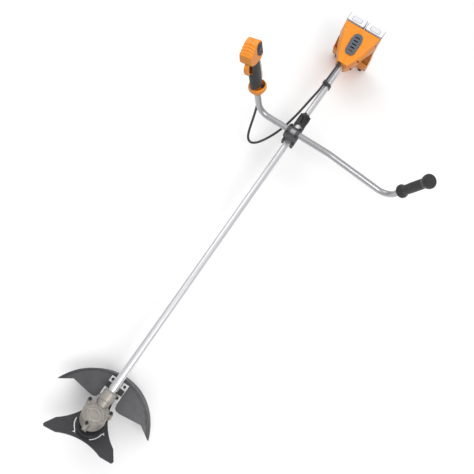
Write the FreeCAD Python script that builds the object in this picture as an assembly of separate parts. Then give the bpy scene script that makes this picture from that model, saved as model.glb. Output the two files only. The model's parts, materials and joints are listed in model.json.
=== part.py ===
import FreeCAD, Part
import math
import os

# Battery brush cutter with a bicycle handlebar.
# Shaft frame, in mm: the origin is where the shaft axis meets the blade spindle axis, +X runs
# along the shaft to the power head, +Y is the throttle side and +Z is up. Every part is drawn
# there and moved at the end to the row frame, whose origin is the harness eye.

V = FreeCAD.Vector
ORIGIN = V(0, 0, 0)
X_AXIS = V(1, 0, 0)
Y_AXIS = V(0, 1, 0)
Z_AXIS = V(0, 0, 1)

# Driving dimensions
SHAFT_R = 12.0              # outside of the long tube
SHAFT_WALL = 1.6
SHAFT_START = 50.0          # tube end inside the gear case neck
SHAFT_END = 1530.0          # tube end inside the power head neck
DRIVE_R = 3.5               # solid drive shaft inside the tube
RUNNING = 0.05              # radial clearance of a shaft in its bearing
REST_HEIGHT = 130.0         # shaft axis above the ground when the tool lies on guard and feet

SPINDLE_TILT = 34.0         # spindle leans this far from +Z towards +X
GEAR_TEETH = 19
PINION_TEETH = 14
MODULE = 1.6
GEAR_FACE = 8.0

BLADE_R = 127.5
BLADE_THICK = 1.8
BLADE_TOP = -42.0           # upper face of the blade along the spindle
BLADE_BORE = 12.7
BLADE_TIP_ANGLES = (6.0, 126.0, 246.0)

GUARD_CENTRE_X = -46.0
GUARD_R = 178.0             # top edge of the guard skirt, seen from above
GUARD_FLARE = 8.0           # the skirt's lower edge stands out this much
GUARD_WALL = 3.0
GUARD_TIP_ANGLE = 65.5      # the guard's points, either side of straight back
GUARD_TOP = -33.0           # guard's top face on the mid-plane
GUARD_DROOP_R = 460.0       # the top face is part of a cylinder of this radius

BAR_X = 1127.0
BAR_R = 11.0
BAR_WALL = 1.8
BAR_HEIGHT = 41.0
BAR_BEND_R = 52.0
GRIP_LEAN = 17.0            # control grip leans out from the vertical
GRIP_BASE = V(BAR_X, 165.0, 122.0)
LEFT_END = V(BAR_X, -466.0, 204.0)

EYE_X = 1214.0
EYE_Z = 36.0
EYE_R = 6.0
EYE_THICK = 6.0

HEAD_WALL = 3.0
BAY_X = 1652.0
SHELF_Z = -44.0
HEAD_BACK = 1692.0
BATTERY_BACK = 1698.0
BATTERY_TOP = 94.0

CABLE_R = 4.5

parts = {}


def box(x0, x1, y0, y1, z0, z1):
    return Part.makeBox(x1 - x0, y1 - y0, z1 - z0, V(x0, y0, z0))


def rod(start, end, radius):
    return Part.makeCylinder(radius, (end - start).Length, start, end - start)


def tube(start, end, outer, inner):
    return rod(start, end, outer).cut(rod(start, end, inner))


def x_rod(x0, x1, radius, y=0.0, z=0.0):
    return rod(V(x0, y, z), V(x1, y, z), radius)


def x_tube(x0, x1, outer, inner, y=0.0, z=0.0):
    return tube(V(x0, y, z), V(x1, y, z), outer, inner)


def z_rod(z0, z1, radius, x=0.0, y=0.0):
    return rod(V(x, y, z0), V(x, y, z1), radius)


def z_tube(z0, z1, outer, inner, x=0.0, y=0.0):
    return tube(V(x, y, z0), V(x, y, z1), outer, inner)


def turned(profile):
    """Solid of revolution about Z from (radius, z) points."""
    points = [V(r, 0, z) for r, z in profile]
    face = Part.Face(Part.makePolygon(points + points[:1]))
    return face.revolve(ORIGIN, Z_AXIS, 360)


def prism(points, direction):
    """Flat outline pushed along a direction."""
    return Part.Face(Part.makePolygon(points + points[:1])).extrude(direction)


def fused(shapes):
    return shapes[0].multiFuse(shapes[1:]).removeSplitter()


def spun(shape, angle, centre=ORIGIN, axis=Z_AXIS):
    copy = shape.copy()
    copy.rotate(centre, axis, angle)
    return copy


def moved(shape, offset):
    copy = shape.copy()
    copy.translate(offset)
    return copy


def rounded(shape, radius, wanted):
    """Fillet the edges that the test picks, or leave the shape as it is."""
    edges = [edge for edge in shape.Edges if wanted(edge)]
    try:
        result = shape.makeFillet(radius, edges)
        return result if result.isValid() else shape
    except Part.OCCError:
        return shape


def edge_runs(edge, axis):
    """True for a straight edge along an axis."""
    span = edge.Vertexes[-1].Point - edge.Vertexes[0].Point
    return span.Length > 1e-6 and abs(span.normalize().dot(axis)) > 0.999


def pipe_wire(points, radii):
    """Straight runs joined by tangent arcs of the given radii at the inner points."""
    edges = []
    at = points[0]
    for index in range(1, len(points) - 1):
        corner = points[index]
        back = (points[index - 1] - corner).normalize()
        ahead = (points[index + 1] - corner).normalize()
        half_turn = (math.pi - back.getAngle(ahead)) / 2
        radius = radii[index - 1]
        reach = radius * math.tan(half_turn)
        start = corner + back * reach
        end = corner + ahead * reach
        toward = (back + ahead).normalize()
        middle = corner + toward * (radius / math.cos(half_turn) - radius)
        edges.append(Part.LineSegment(at, start).toShape())
        edges.append(Part.Arc(start, middle, end).toShape())
        at = end
    edges.append(Part.LineSegment(at, points[-1]).toShape())
    return Part.Wire(edges)


def swept(wire, radius, start, direction):
    circle = Part.Wire([Part.makeCircle(radius, start, direction)])
    return wire.makePipeShell([circle], True, False)


def screw(head, tip, radius, head_radius, head_height, socket=2.0):
    """Cap screw: the head stands on the point head, the shank runs to the point tip."""
    out = (head - tip).normalize()
    shape = rod(tip, head, radius).fuse(rod(head, head + out * head_height, head_radius))
    drive = Part.makeCylinder(socket, head_height, head + out * (head_height * 0.45), out)
    return shape.cut(drive).removeSplitter()


# ---------------------------------------------------------------- gear head (spindle frame)
# The spindle frame keeps the origin and Y. Its Z runs up the spindle and its X points back.

def tilted(shape):
    return spun(shape, SPINDLE_TILT, ORIGIN, Y_AXIS)


def untilted(shape):
    return spun(shape, -SPINDLE_TILT, ORIGIN, Y_AXIS)


SHAFT_ANGLE = math.radians(90.0 - SPINDLE_TILT)
PINION_CONE = math.atan(math.sin(SHAFT_ANGLE) / (GEAR_TEETH / PINION_TEETH + math.cos(SHAFT_ANGLE)))
GEAR_CONE = SHAFT_ANGLE - PINION_CONE
CONE_DISTANCE = GEAR_TEETH * MODULE / 2 / math.sin(GEAR_CONE)
ADDENDUM = 0.8 * MODULE
DEDENDUM = 1.1 * MODULE
TOOTH_HALF = 0.205 * math.pi * MODULE
FLANK = math.tan(math.radians(22.0))


def cone_point(distance, cone, height, across):
    """Point on a gear whose axis is Z: height is measured square to the pitch cone."""
    return V(distance * math.sin(cone) + height * math.cos(cone), across,
             distance * math.cos(cone) - height * math.sin(cone))


def bevel(teeth, cone, bore, hub_z, hub_r, phase):
    """Bevel gear with its cone's tip at the origin, opening towards +Z."""
    inner = (CONE_DISTANCE - GEAR_FACE) / CONE_DISTANCE
    root = cone_point(CONE_DISTANCE, cone, -DEDENDUM, 0)
    low = root * inner
    body = turned([(bore, low.z), (low.x, low.z), (root.x, root.z), (hub_r, root.z + 0.8),
                   (hub_r, hub_z), (bore, hub_z)])
    sunk = -DEDENDUM - 0.4
    corners = [(sunk, TOOTH_HALF - sunk * FLANK), (ADDENDUM, TOOTH_HALF - ADDENDUM * FLANK)]
    outline = [cone_point(CONE_DISTANCE, cone, h, w) for h, w in corners]
    outline += [cone_point(CONE_DISTANCE, cone, h, -w) for h, w in reversed(corners)]
    outer_wire = Part.makePolygon(outline + outline[:1])
    small = [point * inner for point in outline]
    inner_wire = Part.makePolygon(small + small[:1])
    tooth = Part.makeLoft([outer_wire, inner_wire], True, True)
    pitch = 360.0 / teeth
    return fused([body] + [spun(tooth, phase + index * pitch) for index in range(teeth)])


CASE_R = 37.0
CASE_TOP = 27.0
CASE_BOTTOM = -30.0
EAR_R = 42.0
EAR_ANGLES = (60.0, 180.0, 300.0)
COVER_TOP = 34.5
NECK_R = 19.0
BOSS_R = 16.5               # ring in the cover that holds the upper bearing
NECK_END = 84.0
UPPER_BEARING = (25.6, 33.6, 5.0, 13.0)      # from, to, bore, outside
LOWER_BEARING = (-28.0, -17.0, 7.5, 17.5)
PINION_BEARINGS = ((28.0, 36.0), (38.0, 46.0))


def ears(z0, z1, radius):
    shapes = []
    for angle in EAR_ANGLES:
        ear = z_rod(z0, z1, radius, EAR_R).fuse(box(20, EAR_R, -radius, radius, z0, z1))
        shapes.append(spun(ear, angle))
    return shapes


def ear_holes(z0, z1, radius):
    return [spun(z_rod(z0, z1, radius, EAR_R), angle) for angle in EAR_ANGLES]


def make_gear_case():
    shell = turned([(0, CASE_BOTTOM), (24, CASE_BOTTOM), (CASE_R - 6, CASE_BOTTOM + 7),
                    (CASE_R, -8), (CASE_R, CASE_TOP), (0, CASE_TOP)])
    neck = untilted(x_rod(2, NECK_END, NECK_R))
    collar = untilted(x_rod(NECK_END - 30, NECK_END - 4, NECK_R + 2.0))
    boss = spun(box(CASE_R - 8, CASE_R + 3.5, -7, 7, -14, 6), 180)
    lugs = untilted(box(58, 80, -9, 9, -27, -10))
    case = fused([shell, neck, collar, boss, lugs] + ears(6, CASE_TOP, 7.5))
    case = case.cut(z_rod(-16, CASE_TOP + 0.1, 29.5))
    case = case.cut(z_rod(UPPER_BEARING[0] - 0.3, 60, BOSS_R + 0.3))
    case = case.cut(z_rod(LOWER_BEARING[0], -15, LOWER_BEARING[3]))
    case = case.cut(z_rod(CASE_BOTTOM - 1, -20, 11))
    case = case.cut(untilted(x_rod(0, 47, 14.0)))
    case = case.cut(untilted(x_rod(46, SHAFT_START + 1, 8.0)))
    case = case.cut(untilted(x_rod(SHAFT_START, NECK_END + 1, SHAFT_R)))
    case = case.cut(untilted(box(55, NECK_END + 1, -1.2, 1.2, -28, -5)))
    case = case.cut(untilted(rod(V(69, -10, -19.5), V(69, 10, -19.5), 2.5)))
    case = case.cut(untilted(rod(V(69, 9, -19.5), V(69, 20, -19.5), 5.0)))
    for hole in ear_holes(8, CASE_TOP + 1, 2.5):
        case = case.cut(hole)
    return tilted(case)


def make_cover():
    plate = z_rod(CASE_TOP + 0.3, CASE_TOP + 4.5, CASE_R)
    dome = turned([(0, CASE_TOP + 4), (CASE_R - 6, CASE_TOP + 4), (CASE_R - 12, COVER_TOP),
                   (10, COVER_TOP + 2.5), (0, COVER_TOP + 2.5)])
    lids = ears(CASE_TOP + 0.3, CASE_TOP + 5.5, 7.5)
    cover = fused([plate, dome] + lids)
    cover = cover.cut(untilted(x_rod(18, 90, NECK_R + 0.3)))
    boss = z_rod(CASE_TOP + 0.3, COVER_TOP + 1, BOSS_R).cut(untilted(x_rod(18, 90, 14.3)))
    cover = cover.fuse(boss)
    cover = cover.cut(z_rod(CASE_TOP - 1, UPPER_BEARING[1] + 0.1, UPPER_BEARING[3]))
    for hole in ear_holes(CASE_TOP - 1, COVER_TOP + 5, 2.5):
        cover = cover.cut(hole)
    return tilted(cover)


def make_gear_case_screws():
    shapes = []
    for angle in EAR_ANGLES:
        shape = screw(V(EAR_R, 0, CASE_TOP + 5.5), V(EAR_R, 0, 9), 2.5, 4.5, 4.5)
        shapes.append(tilted(spun(shape, angle)))
    shapes.append(screw(V(69, 9.0, -19.5), V(69, -8.5, -19.5), 2.5, 4.5, 4.5))
    return Part.Compound(shapes)


def make_output_spindle():
    spindle = turned([(0, 33.0), (4.95, 33.0), (4.95, 25.4), (6, 25.4), (6, -16.8), (7.45, -16.8),
                      (7.45, -31), (6, -31), (6, -46.7), (5, -46.7), (5, -60), (0, -60)])
    return tilted(spindle)


def make_bevel_gear():
    phase = 180.0 / GEAR_TEETH          # a gap faces the pinion
    return tilted(bevel(GEAR_TEETH, GEAR_CONE, 6.0, 25.3, 10.0, phase))


def make_bevel_pinion():
    gear = bevel(PINION_TEETH, PINION_CONE, 0.01, 27.4, 8.0, 180.0)
    shank = z_rod(20, 46.2, 6.0 - RUNNING).fuse(z_rod(46.2, 60, 6.6))
    pinion = fused([gear, shank])
    pinion = pinion.fuse(z_rod(19.0, 22.0, 3.0)).removeSplitter()
    socket = box(-2.5, 2.5, -2.5, 2.5, 50, 61)
    return spun(pinion.cut(socket), 90, ORIGIN, Y_AXIS)


def make_dust_collar():
    ring = turned([(28, -30.6), (41, -31.5), (42.5, -34), (42.5, -38.5), (39.5, -38.5), (39.5, -35),
                   (28, -34)])
    return tilted(ring)


def make_upper_flange():
    flange = turned([(6, -31.3), (13, -31.3), (13, -35.5), (25, -36.5), (25, BLADE_TOP),
                     (BLADE_BORE - 0.1, BLADE_TOP), (BLADE_BORE - 0.1, BLADE_TOP - 1.6),
                     (6, BLADE_TOP - 1.6)])
    return tilted(flange)


def blade_outline():
    """Three-armed star: each side of an arm is straight at the tip, then one long arc."""
    def at(u, v, angle):
        turn = math.radians(angle)
        return V(u * math.cos(turn) - v * math.sin(turn), u * math.sin(turn) + v * math.cos(turn), 0)

    shoulder, shoulder_half = 95.0, 22.0
    tip_half, waist = 4.5, 51.0
    edges = []
    for index, angle in enumerate(BLADE_TIP_ANGLES):
        following = BLADE_TIP_ANGLES[(index + 1) % 3]
        start = at(shoulder, -shoulder_half, angle)
        corner = at(BLADE_R - 1.0, -tip_half, angle)
        nose = at(BLADE_R, 0, angle)
        far = at(BLADE_R - 1.0, tip_half, angle)
        end = at(shoulder, shoulder_half, angle)
        edges.append(Part.LineSegment(start, corner).toShape())
        edges.append(Part.Arc(corner, nose, far).toShape())
        edges.append(Part.LineSegment(far, end).toShape())
        landing = at(shoulder, -shoulder_half, following)
        edges.append(Part.Arc(end, at(waist, 0, angle + 60), landing).toShape())
    return Part.Wire(edges)


def make_blade():
    blade = Part.Face(blade_outline()).extrude(V(0, 0, BLADE_THICK))
    blade = blade.cut(z_rod(-1, BLADE_THICK + 1, BLADE_BORE))
    ring = z_tube(-1, BLADE_THICK + 1, 45.2, 42.6)
    for angle in BLADE_TIP_ANGLES:
        reach = 90.0
        wedge = prism([ORIGIN, V(reach, -reach * 0.62, 0), V(reach * 1.1, 0, 0),
                       V(reach, reach * 0.36, 0)], V(0, 0, 4))
        slit = ring.common(spun(moved(wedge, V(0, 0, -1)), angle))
        spur = prism([V(40.5, 14.5, -1), V(50, 21, -1), V(43, 20.5, -1), V(41, 25, -1)], V(0, 0, 4))
        blade = blade.cut(slit.fuse(spun(spur, angle)))
    return tilted(moved(blade, V(0, 0, BLADE_TOP - BLADE_THICK)))


def make_lower_flange():
    z1 = BLADE_TOP - BLADE_THICK
    return tilted(turned([(6, z1), (24, z1), (24, z1 - 1.5), (20, z1 - 3), (6, z1 - 3)]))


def make_rider_cup():
    z1 = BLADE_TOP - BLADE_THICK - 3
    return tilted(turned([(5, z1), (14, z1), (31, z1 - 8), (31, z1 - 9.5), (27, z1 - 10.5),
                          (12.5, z1 - 3), (5, z1 - 3)]))


def make_blade_nut():
    z1 = BLADE_TOP - BLADE_THICK - 6
    corners = [V(9.5 * math.cos(math.radians(60 * k)), 9.5 * math.sin(math.radians(60 * k)), z1)
               for k in range(6)]
    nut = prism(corners, V(0, 0, -7))
    return tilted(nut.cut(z_rod(z1 - 8, z1 + 1, 5.0)))


def make_gear_head():
    parts["gear_case"] = make_gear_case()
    parts["gear_case_cover"] = make_cover()
    parts["gear_case_screws"] = make_gear_case_screws()
    parts["grease_plug"] = tilted(spun(screw_plug(), 180))
    for name, (low, high, bore, outer) in (("spindle_upper_bearing", UPPER_BEARING),
                                           ("spindle_lower_bearing", LOWER_BEARING)):
        parts[name] = tilted(z_tube(low, high, outer, bore))
    parts["pinion_bearings"] = Part.Compound([x_tube(a, b, 14.0, 6.0) for a, b in PINION_BEARINGS])
    parts["output_spindle"] = make_output_spindle()
    parts["bevel_gear"] = make_bevel_gear()
    parts["bevel_pinion"] = make_bevel_pinion()
    parts["dust_collar"] = make_dust_collar()
    parts["upper_flange"] = make_upper_flange()
    parts["cutting_blade"] = make_blade()
    parts["lower_flange"] = make_lower_flange()
    parts["rider_cup"] = make_rider_cup()
    parts["blade_nut"] = make_blade_nut()


def screw_plug():
    """Grease filler plug in the boss at the front of the case."""
    shape = rod(V(CASE_R + 3.5, 0, -4), V(CASE_R + 6.5, 0, -4), 4.5)
    return shape.cut(rod(V(CASE_R + 4.8, 0, -4), V(CASE_R + 7, 0, -4), 2.0))


# ---------------------------------------------------------------- guard

BRACKET_X = (62.0, 122.0)
BRACKET_TOP = GUARD_TOP + 2.8
GUARD_BOLTS = ((76.0, 21.0), (113.0, 21.0), (76.0, -21.0), (113.0, -21.0))


def mirrored_y(points):
    return [V(point.x, -point.y, point.z) for point in points]


def ring_wall(radius, wall, low, high, flare):
    """Thin wall about a vertical axis at the guard's centre, wider at its lower edge."""
    foot = V(GUARD_CENTRE_X, 0, low)
    outer = Part.makeCone(radius + flare, radius, high - low, foot)
    return outer.cut(Part.makeCone(radius + flare - wall, radius - wall, high - low, foot))


def make_blade_guard():
    base_z = -120.0
    tip_angle = math.radians(GUARD_TIP_ANGLE)
    tip = V(GUARD_CENTRE_X + GUARD_R * math.cos(tip_angle), GUARD_R * math.sin(tip_angle), base_z)
    inner_edge = [(96, 26), (62, 30), (50, 33), (45, 40), (44, 52), (52, 122)]
    half = [V(x, y, base_z) for x, y in inner_edge] + [tip]
    other = list(reversed(mirrored_y(half)))
    edges = [Part.LineSegment(a, b).toShape() for a, b in zip(half, half[1:])]
    edges.append(Part.Arc(tip, V(GUARD_CENTRE_X + GUARD_R, 0, base_z), other[0]).toShape())
    edges += [Part.LineSegment(a, b).toShape() for a, b in zip(other, other[1:])]
    edges.append(Part.LineSegment(other[-1], half[0]).toShape())
    plate = Part.Face(Part.Wire(edges)).extrude(V(0, 0, 120))

    centre_z = GUARD_TOP - GUARD_DROOP_R
    sheet = x_tube(-10, 150, GUARD_DROOP_R, GUARD_DROOP_R - GUARD_WALL, 0, centre_z)
    top = sheet.common(plate)
    lip = x_tube(-10, 150, GUARD_DROOP_R + 3.0, GUARD_DROOP_R - 0.5, 0, centre_z)
    lip = lip.common(ring_wall(GUARD_R, 4.0, base_z, 0, 0.001)).common(plate)

    wall = ring_wall(GUARD_R, GUARD_WALL, -REST_HEIGHT, GUARD_TOP + 4, GUARD_FLARE)
    wall = wall.common(x_rod(-10, 160, GUARD_DROOP_R, 0, centre_z))
    wall = wall.common(box(tip.x, 160, -220, 220, -200, 20))
    # the lower edge runs nearly parallel to the blade, down to the ground at the back
    below = [(0, -54), (20, -66), (128, -REST_HEIGHT), (160, -REST_HEIGHT), (160, -200), (0, -200)]
    wall = wall.cut(prism([V(x, -220, z) for x, z in below], V(0, 440, 0)))
    guard = fused([top, wall, lip])
    for x, y in GUARD_BOLTS:
        guard = guard.cut(z_rod(-60, 0, 2.6, x, y))
    return guard


def make_guard_bracket():
    x0, x1 = BRACKET_X
    plate = box(x0, x1, -30, 30, GUARD_TOP + 0.3, BRACKET_TOP)
    plate = plate.cut(box(x0 - 1, 88, -11, 11, GUARD_TOP - 1, BRACKET_TOP + 1))
    for side in (1, -1):
        lug = box(x0, 90, side * 26 - 4, side * 26 + 4, GUARD_TOP + 0.3, BRACKET_TOP)
        plate = plate.fuse(lug)
    for x, y in GUARD_BOLTS:
        plate = plate.cut(z_rod(-60, 0, 2.6, x, y))
    return plate.removeSplitter()


def make_guard_strap():
    """Light strap over the tube, bolted down through the bracket."""
    outer, x0, x1 = SHAFT_R + 2.0, 90.0, 118.0
    strap = x_rod(x0, x1, outer).fuse(box(x0, x1, -outer, outer, BRACKET_TOP + 2.3, 0))
    strap = strap.fuse(box(104, x1 + 3, -29, 29, BRACKET_TOP + 0.3, BRACKET_TOP + 2.3))
    strap = strap.cut(x_rod(x0 - 1, x1 + 4, SHAFT_R))
    strap = strap.cut(box(x0 - 1, x1 + 4, -SHAFT_R, SHAFT_R, -60, 0))
    for x, y in GUARD_BOLTS:
        strap = strap.cut(z_rod(-60, 0, 2.6, x, y))
    return strap.removeSplitter()


def make_saddle_block():
    """Black half-clamp that fills the space between the tube and the bracket."""
    block = box(86, 103, -29, 29, BRACKET_TOP + 0.3, -14)
    block = block.fuse(box(86, 89.7, -17, 17, -16, -2))
    inside = box(89.7, 118, -11.7, 11.7, BRACKET_TOP + 0.3, -4)
    block = block.cut(box(89.7, 118, -SHAFT_R - 2.3, SHAFT_R + 2.3, -60, 0)).fuse(inside)
    block = block.cut(x_rod(80, 120, SHAFT_R))
    return block.removeSplitter()


def make_guard():
    parts["blade_guard"] = make_blade_guard()
    parts["guard_bracket"] = make_guard_bracket()
    parts["guard_strap"] = make_guard_strap()
    parts["saddle_block"] = make_saddle_block()
    bolts = []
    for x, y in GUARD_BOLTS:
        top = BRACKET_TOP + (2.3 if x > 100 else 0.0)
        bolts.append(screw(V(x, y, top), V(x, y, GUARD_TOP - 9), 2.5, 4.5, 4.5))
    parts["guard_bolts"] = Part.Compound(bolts)


# ---------------------------------------------------------------- shaft

BUSH_PLACES = (160.0, 420.0, 680.0, 940.0, 1330.0)


def make_shaft():
    inner = SHAFT_R - SHAFT_WALL
    parts["shaft_tube"] = x_tube(SHAFT_START, SHAFT_END, SHAFT_R, inner)
    bushes = [x_tube(x, x + 30, inner, DRIVE_R + RUNNING) for x in BUSH_PLACES]
    parts["shaft_bushes"] = Part.Compound(bushes)
    drive = x_rod(60.3, 1537, DRIVE_R)
    square = box(50.5, 61, -2.4, 2.4, -2.4, 2.4)
    parts["drive_shaft"] = drive.fuse(square).removeSplitter()


# ---------------------------------------------------------------- handlebar

def make_handlebar():
    lean = math.radians(GRIP_LEAN)
    right_end = GRIP_BASE + V(0, math.sin(lean), math.cos(lean)) * 108
    corner_y = GRIP_BASE.y - (GRIP_BASE.z - BAR_HEIGHT) * math.tan(lean)
    points = [LEFT_END, V(BAR_X, -403, 6), V(BAR_X, -150, BAR_HEIGHT), V(BAR_X, corner_y, BAR_HEIGHT),
              right_end]
    wire = pipe_wire(points, [BAR_BEND_R, 120.0, BAR_BEND_R])
    start = points[0]
    along = points[1] - points[0]
    return swept(wire, BAR_R, start, along).cut(swept(wire, BAR_R - BAR_WALL, start, along))


CLAMP_X = (1104.0, 1150.0)
CLAMP_HALF = 27.0
CAP_ROWS = (-17.0, 17.0)


def make_bar_clamp():
    x0, x1 = CLAMP_X
    tall = box(x0, x1, -CLAMP_HALF, CLAMP_HALF, 22, BAR_HEIGHT - 0.4)
    throat = prism([V(x0 + 3, -24, 22), V(x0 + 3, 24, 22), V(x0 + 3, 20, 1), V(x0 + 3, -20, 1)],
                   V(x1 - x0 - 6, 0, 0))
    upper = tall.fuse(throat)
    upper = rounded(upper, 4.0, lambda e: edge_runs(e, Z_AXIS))
    upper = upper.cut(x_rod(x0 - 1, x1 + 1, SHAFT_R))
    upper = upper.cut(rod(V(BAR_X, -40, BAR_HEIGHT), V(BAR_X, 40, BAR_HEIGHT), BAR_R))
    lower = box(x0 + 1, x1 - 1, -24, 24, -19, -1)
    lower = rounded(lower, 4.0, lambda e: edge_runs(e, X_AXIS) and e.Vertexes[0].Point.z < -10)
    lower = lower.cut(x_rod(x0 - 1, x1 + 1, SHAFT_R))
    caps = []
    for row in CAP_ROWS:
        cap = rod(V(BAR_X, row - 7, BAR_HEIGHT), V(BAR_X, row + 7, BAR_HEIGHT), BAR_R + 3.5)
        cap = cap.fuse(box(BAR_X - 22.9, BAR_X + 22.9, row - 7, row + 7, BAR_HEIGHT, BAR_HEIGHT + 5))
        cap = cap.cut(rod(V(BAR_X, row - 8, BAR_HEIGHT), V(BAR_X, row + 8, BAR_HEIGHT), BAR_R))
        cap = cap.cut(box(BAR_X - 30, BAR_X + 30, row - 8, row + 8, BAR_HEIGHT - 20, BAR_HEIGHT))
        caps.append(cap.removeSplitter())
    screws = []
    for row in CAP_ROWS:
        for offset in (-18.3, 18.3):
            x = BAR_X + offset
            screws.append(screw(V(x, row, BAR_HEIGHT + 5), V(x, row, 24), 2.5, 4.5, 4.5))
            y = math.copysign(18.0, row)
            screws.append(screw(V(x, y, -19), V(x, y, 8), 2.5, 4.5, 4.5))
    for x in (EYE_X - 20, EYE_X + 20):
        for side in (1, -1):
            screws.append(screw(V(x, side * 15.5, -17), V(x, side * 15.5, 8), 2.5, 4.5, 3.5))
    holes = [rod(s.BoundBox.Center - V(0, 0, 60), s.BoundBox.Center + V(0, 0, 60), 2.5) for s in screws]
    for hole in holes:
        upper = upper.cut(hole)
        lower = lower.cut(hole)
        caps = [cap.cut(hole) for cap in caps]
    parts["clamp_upper"] = upper.removeSplitter()
    parts["clamp_lower"] = lower.removeSplitter()
    parts["bar_caps"] = Part.Compound(caps)
    parts["clamp_screws"] = Part.Compound(screws)


def make_harness_hanger():
    """Split clamp with a hole in an upright tab for the harness hook."""
    x0, x1 = EYE_X - 27, EYE_X + 27
    upper = x_rod(x0, x0 + 14, SHAFT_R + 5).fuse(x_rod(x1 - 14, x1, SHAFT_R + 5))
    upper = upper.fuse(x_rod(x0, x1, SHAFT_R + 3))
    upper = upper.cut(box(x0 - 1, x1 + 1, -30, 30, -30, 0.5))
    upper = upper.fuse(box(x0, x1, -20.5, 20.5, 0.5, 6))
    tab = prism([V(x0 + 4, -EYE_THICK / 2, 10), V(x1 - 4, -EYE_THICK / 2, 10),
                 V(EYE_X + 9, -EYE_THICK / 2, EYE_Z + 10), V(EYE_X - 9, -EYE_THICK / 2, EYE_Z + 10)],
                V(0, EYE_THICK, 0))
    upper = upper.fuse(tab)
    upper = upper.cut(rod(V(EYE_X, -20, EYE_Z), V(EYE_X, 20, EYE_Z), EYE_R))
    lower = x_rod(x0, x1, SHAFT_R + 3).cut(box(x0 - 1, x1 + 1, -30, 30, -0.5, 30))
    lower = lower.fuse(box(x0, x1, -20.5, 20.5, -6, -0.5))
    lower = lower.fuse(box(x0, x0 + 14, -20.5, 20.5, -17, -0.5)).fuse(
        box(x1 - 14, x1, -20.5, 20.5, -17, -0.5))
    result = []
    for half in (upper, lower):
        half = half.cut(x_rod(x0 - 1, x1 + 1, SHAFT_R))
        for x in (EYE_X - 20, EYE_X + 20):
            for side in (1, -1):
                half = half.cut(rod(V(x, side * 15.5, -60), V(x, side * 15.5, 60), 2.5))
        result.append(half.removeSplitter())
    parts["hanger_upper"], parts["hanger_lower"] = result


def make_left_grip():
    """Ribbed rubber grip, closed at its far end, with a flange at each end."""
    end = LEFT_END
    corner = V(BAR_X, -403, 6)
    along = (end - corner).normalize()
    foot = end - along * 138.0
    profile = [(BAR_R, 0), (20, 0), (24, 5), (24, 11), (18.5, 22)]
    ribs = 14
    for index in range(ribs):
        z = 26 + index * 6.2
        bulge = 17.0 + 0.9 * math.sin(math.pi * (index + 0.5) / ribs)
        profile += [(bulge - 0.9, z), (bulge, z + 1.2), (bulge, z + 4.2), (bulge - 0.9, z + 5.4)]
    profile += [(18, 116), (23.5, 128), (24.5, 133), (24.5, 139), (22, 144), (0, 144), (0, 138.5),
                (BAR_R, 138.5)]
    grip = turned(profile)
    place = FreeCAD.Placement(foot, FreeCAD.Rotation(Z_AXIS, along))
    grip.Placement = place
    return grip


# ---------------------------------------------------------------- control grip (grip frame)
# Local X points forward to the blade, local Y inwards to the shaft, local Z up the grip.

GRIP_ROTATION = FreeCAD.Rotation(X_AXIS, -GRIP_LEAN) * FreeCAD.Rotation(Z_AXIS, 180)


def in_grip(shape):
    copy = shape.copy()
    copy.Placement = FreeCAD.Placement(GRIP_BASE, GRIP_ROTATION).multiply(copy.Placement)
    return copy


HANDLE_LONG = 25.0
HANDLE_WIDE = 15.5
HANDLE_LOW = 40.0
RUBBER_TOP = 150.0
HEAD_HALF = 22.0
SHELL = 2.6
SKIN = 1.6
TRIGGER_PIVOT = (22.0, 166.0)
LEVER_PIVOT = (-17.0, 146.0)


def oval_prism(half_long, half_wide, z0, z1):
    ellipse = Part.Ellipse(V(0, 0, z0), half_long, half_wide)
    return Part.Face(Part.Wire([ellipse.toShape()])).extrude(V(0, 0, z1 - z0))


def side_prism(points, half_width):
    """Outline in the grip's side view, as thick as twice the half width."""
    outline = [V(u, -half_width, s) for u, s in points]
    return prism(outline, V(0, 2 * half_width, 0))


HEAD_SIDE = ((-30.0, 160.0), (-30.0, 206.0), (-22.0, 214.0), (-2.0, 214.0), (39.0, 192.0),
             (42.0, 168.0), (34.0, 156.0), (16.0, 150.0), (-16.0, 150.0))


def grip_solid(inset):
    handle = oval_prism(HANDLE_LONG - inset, HANDLE_WIDE - inset, HANDLE_LOW, 160)
    middle_u = 4.0
    middle_s = 182.0
    side = []
    for u, s in HEAD_SIDE:
        along = V(u - middle_u, 0, s - middle_s)
        scale = max(0.0, 1.0 - inset / 24.0)
        side.append((middle_u + along.x * scale, middle_s + along.z * scale))
    head = side_prism(side, HEAD_HALF - inset)
    if inset == 0:
        head = rounded(head, 5.0, lambda e: edge_runs(e, Y_AXIS))
        head = rounded(head, 3.0, lambda e: not edge_runs(e, Y_AXIS))
    return handle.fuse(head)


PANEL_SIDE = ((-27.0, 166.0), (-27.0, 204.0), (-20.0, 210.0), (-6.0, 210.0), (2.0, 198.0),
              (2.0, 176.0), (-12.0, 163.0))
BUTTON_AT = (-13.0, 190.0)
PANEL_DEEP = 2.0


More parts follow.
